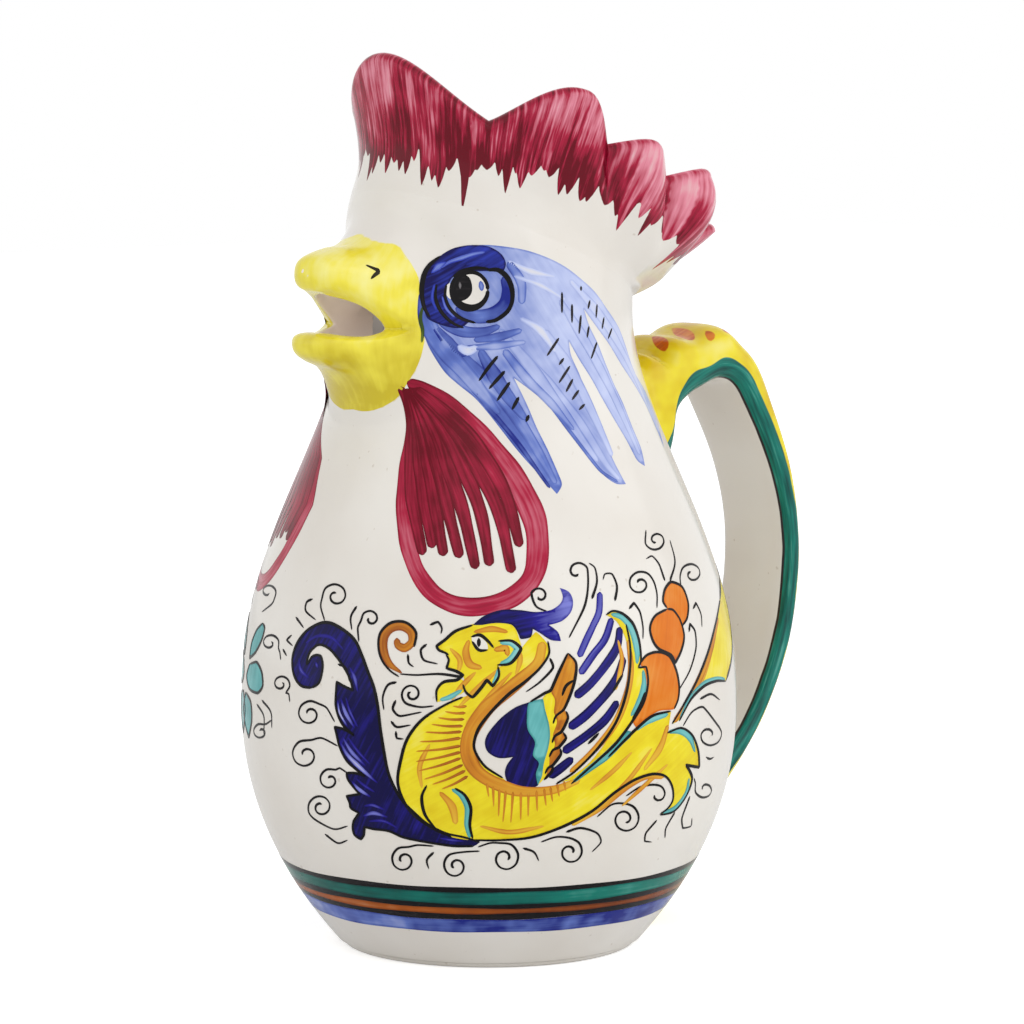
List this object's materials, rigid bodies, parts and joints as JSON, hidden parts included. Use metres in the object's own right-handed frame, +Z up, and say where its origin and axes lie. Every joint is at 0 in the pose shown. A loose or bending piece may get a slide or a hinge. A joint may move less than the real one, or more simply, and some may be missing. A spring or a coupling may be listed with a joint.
{
  "type": "rooster pitcher",
  "caption": "Glazed earthenware pitcher shaped as a rooster: round belly, ruffled comb rim for filling, hollow open beak for pouring and a strap handle at the back.",
  "frame": {"origin": "centre of the foot, on the table plane", "axes": "+Z up along the pitcher's axis, -X towards the beak, +X towards the handle"},
  "size_m": [0.1717, 0.1344, 0.2412],
  "materials": {
    "white_glaze": "glossy white tin glaze",
    "crimson_glaze": "glossy brushed crimson over white glaze",
    "yellow_glaze": "glossy brushed yellow over white glaze",
    "handle_glaze": "glossy yellow and green over white glaze"
  },
  "bodies": {
    "root": {"foot_ring": "white_glaze", "body": "white_glaze", "comb": "crimson_glaze", "upper_beak": "yellow_glaze", "lower_beak": "yellow_glaze", "handle": "handle_glaze"}
  },
  "joints": []
}
